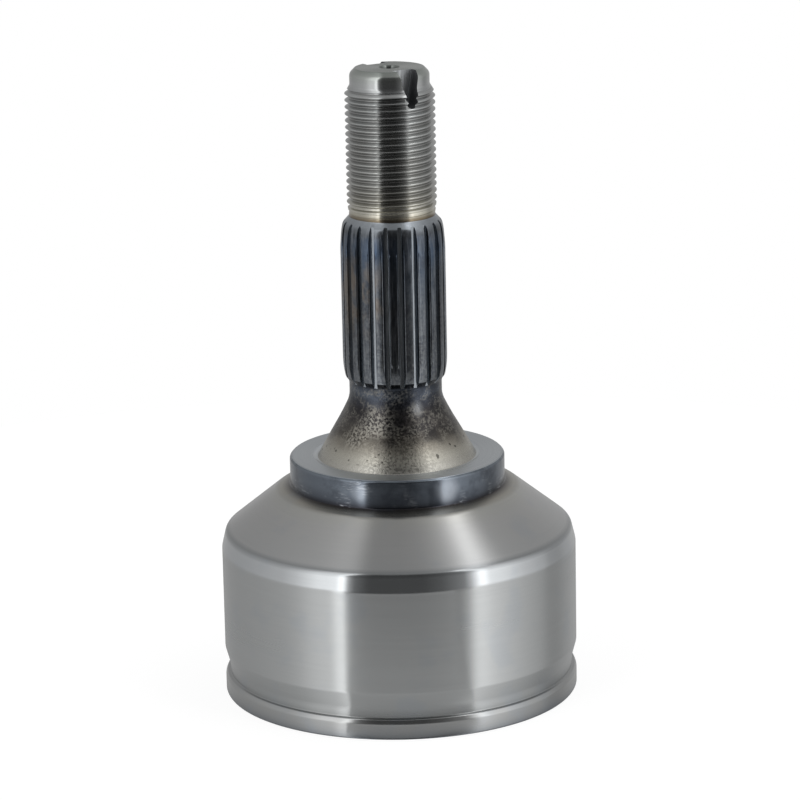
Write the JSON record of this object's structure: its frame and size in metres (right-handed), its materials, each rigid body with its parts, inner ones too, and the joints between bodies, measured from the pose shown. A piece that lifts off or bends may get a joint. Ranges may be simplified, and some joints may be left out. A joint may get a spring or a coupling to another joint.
{
  "type": "fixed constant-velocity joint",
  "caption": "Bell-shaped outer CV joint with splined, threaded stub shaft, caged balls and splined inner race; the inner race bends inside the bell.",
  "frame": {"origin": "centre of the bell's mouth rim, on the plane that the joint stands on", "axes": "+Z along the stub shaft's axis towards its threaded end; -Y faces the picture's viewer; +X to the viewer's right"},
  "size_m": [0.0796, 0.0796, 0.1416],
  "materials": {
    "race_steel": "forged, turned and ground steel, heat-tinted where it was induction hardened",
    "hardened_steel": "hardened and ground steel",
    "cage_steel": "case-hardened steel, dark from heat treatment",
    "ball_steel": "polished bearing steel",
    "spring_steel": "drawn spring wire, oiled"
  },
  "bodies": {
    "outer_race": {"outer_race": "race_steel"},
    "inner_race": {"inner_race": "hardened_steel", "snap_ring": "spring_steel"},
    "cage": {"cage": "cage_steel"},
    "ball_1": {"ball_1": "ball_steel"},
    "ball_2": {"ball_2": "ball_steel"},
    "ball_3": {"ball_3": "ball_steel"},
    "ball_4": {"ball_4": "ball_steel"},
    "ball_5": {"ball_5": "ball_steel"},
    "ball_6": {"ball_6": "ball_steel"}
  },
  "joints": [
    {"name": "shaft_bend", "type": "hinge", "parent": "outer_race", "child": "inner_race", "pos_m": [0, 0, 0.0155], "axis": [1, 0, 0], "range_deg": [-45, 45]},
    {"name": "cage_bend", "type": "hinge", "parent": "outer_race", "child": "cage", "pos_m": [0, 0, 0.0155], "axis": [1, 0, 0], "range_deg": [-22.5, 22.5]},
    {"name": "ball_1_travel", "type": "hinge", "parent": "outer_race", "child": "ball_1", "pos_m": [0, 0, 0.013], "axis": [-1, 0, 0], "range_deg": [-22.5, 22.5]},
    {"name": "ball_2_travel", "type": "hinge", "parent": "outer_race", "child": "ball_2", "pos_m": [0, 0, 0.013], "axis": [-0.5, -0.866, 0], "range_deg": [-11.25, 11.25]},
    {"name": "ball_3_travel", "type": "hinge", "parent": "outer_race", "child": "ball_3", "pos_m": [0, 0, 0.013], "axis": [0.5, -0.866, 0], "range_deg": [-11.25, 11.25]},
    {"name": "ball_4_travel", "type": "hinge", "parent": "outer_race", "child": "ball_4", "pos_m": [0, 0, 0.013], "axis": [1, 0, 0], "range_deg": [-22.5, 22.5]},
    {"name": "ball_5_travel", "type": "hinge", "parent": "outer_race", "child": "ball_5", "pos_m": [0, 0, 0.013], "axis": [0.5, 0.866, 0], "range_deg": [-11.25, 11.25]},
    {"name": "ball_6_travel", "type": "hinge", "parent": "outer_race", "child": "ball_6", "pos_m": [0, 0, 0.013], "axis": [-0.5, 0.866, 0], "range_deg": [-11.25, 11.25]}
  ],
  "couplings": [
    {"joint": "cage_bend", "follows": "shaft_bend", "ratio": 0.5},
    {"joint": "ball_1_travel", "follows": "shaft_bend", "ratio": -0.5},
    {"joint": "ball_2_travel", "follows": "shaft_bend", "ratio": -0.25},
    {"joint": "ball_3_travel", "follows": "shaft_bend", "ratio": 0.25},
    {"joint": "ball_4_travel", "follows": "shaft_bend", "ratio": 0.5},
    {"joint": "ball_5_travel", "follows": "shaft_bend", "ratio": 0.25},
    {"joint": "ball_6_travel", "follows": "shaft_bend", "ratio": -0.25}
  ]
}
